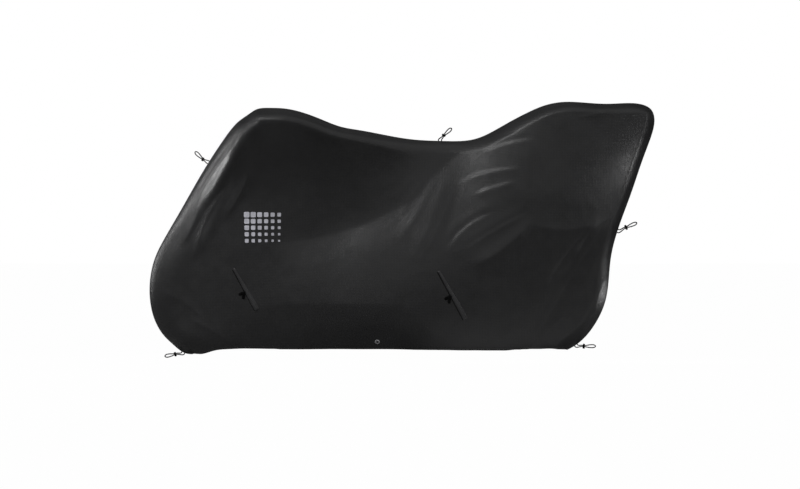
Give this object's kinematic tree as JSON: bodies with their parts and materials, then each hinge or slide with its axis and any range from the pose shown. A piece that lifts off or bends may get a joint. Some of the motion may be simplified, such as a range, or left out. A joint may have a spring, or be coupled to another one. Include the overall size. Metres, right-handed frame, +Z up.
{
  "type": "bicycle cover",
  "caption": "Fitted weather cover of thin black coated cloth, draped as over a long bicycle with a high rear load, with zipped ports, an eyelet in the hem and cord loops in its seam.",
  "frame": {"origin": "under the top seam, where the saddle of the covered bicycle carries the cloth", "axes": "+X to the rear of the cover, +Z up, -Y to the near side with the ports and the eyelet"},
  "size_m": [2.1149, 0.6049, 1.073],
  "materials": {
    "coated_cloth": "thin ripstop weave with a semi-gloss coating",
    "zip_tape": "matt woven tape with moulded teeth",
    "slider_metal": "black lacquer",
    "eyelet_metal": "dull grey plating",
    "grey_cord": "fine braid",
    "reflective_print": "light grey printed film"
  },
  "bodies": {
    "root": {"near_panel": "coated_cloth", "far_panel": "coated_cloth", "hem_strip": "coated_cloth", "eyelet": "eyelet_metal", "front_port_flap": "coated_cloth", "front_port_zip": "zip_tape", "front_port_slider": "slider_metal", "front_port_puller": "zip_tape", "rear_port_flap": "coated_cloth", "rear_port_zip": "zip_tape", "rear_port_slider": "slider_metal", "rear_port_puller": "zip_tape", "front_loop_leg_a": "grey_cord", "front_loop_leg_b": "grey_cord", "front_loop_knot": "grey_cord", "front_loop_eye": "grey_cord", "top_loop_leg_a": "grey_cord", "top_loop_leg_b": "grey_cord", "top_loop_knot": "grey_cord", "top_loop_eye": "grey_cord", "rear_loop_leg_a": "grey_cord", "rear_loop_leg_b": "grey_cord", "rear_loop_knot": "grey_cord", "rear_loop_eye": "grey_cord", "front_foot_loop_leg_a": "grey_cord", "front_foot_loop_leg_b": "grey_cord", "front_foot_loop_knot": "grey_cord", "front_foot_loop_eye": "grey_cord", "rear_foot_loop_leg_a": "grey_cord", "rear_foot_loop_leg_b": "grey_cord", "rear_foot_loop_knot": "grey_cord", "rear_foot_loop_eye": "grey_cord"}
  },
  "joints": []
}
